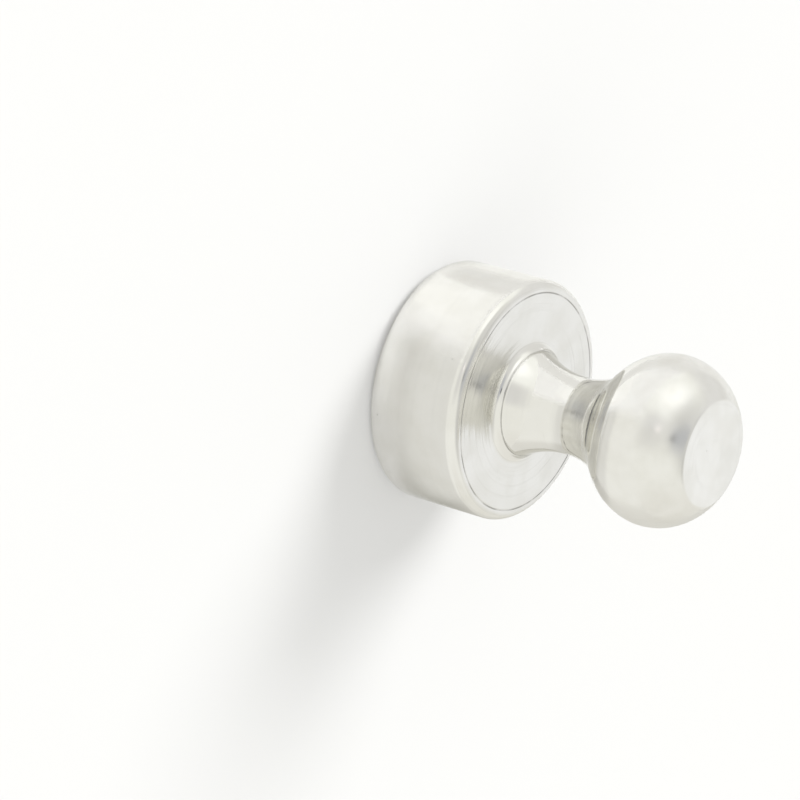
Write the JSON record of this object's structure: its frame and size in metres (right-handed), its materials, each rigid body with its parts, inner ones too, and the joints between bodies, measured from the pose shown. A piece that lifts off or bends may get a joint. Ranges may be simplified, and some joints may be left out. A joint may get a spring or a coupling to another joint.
{
  "type": "magnetic push pin",
  "caption": "Nickel-plated push pin with a waisted neck, a round flat-topped head and a disc magnet set in its foot.",
  "frame": {"origin": "centre of the foot's face that holds to a steel board", "axes": "+Z along the pin's axis, from the magnet's face up to the head's flat end; +X and +Y are any two square to it"},
  "size_m": [0.012, 0.012, 0.016],
  "materials": {
    "plated_body": "satin nickel plating on turned steel, with fine turning marks on the flat faces",
    "plated_magnet": "bright nickel plating"
  },
  "bodies": {
    "root": {"pin_body": "plated_body", "disc_magnet": "plated_magnet"}
  },
  "joints": []
}
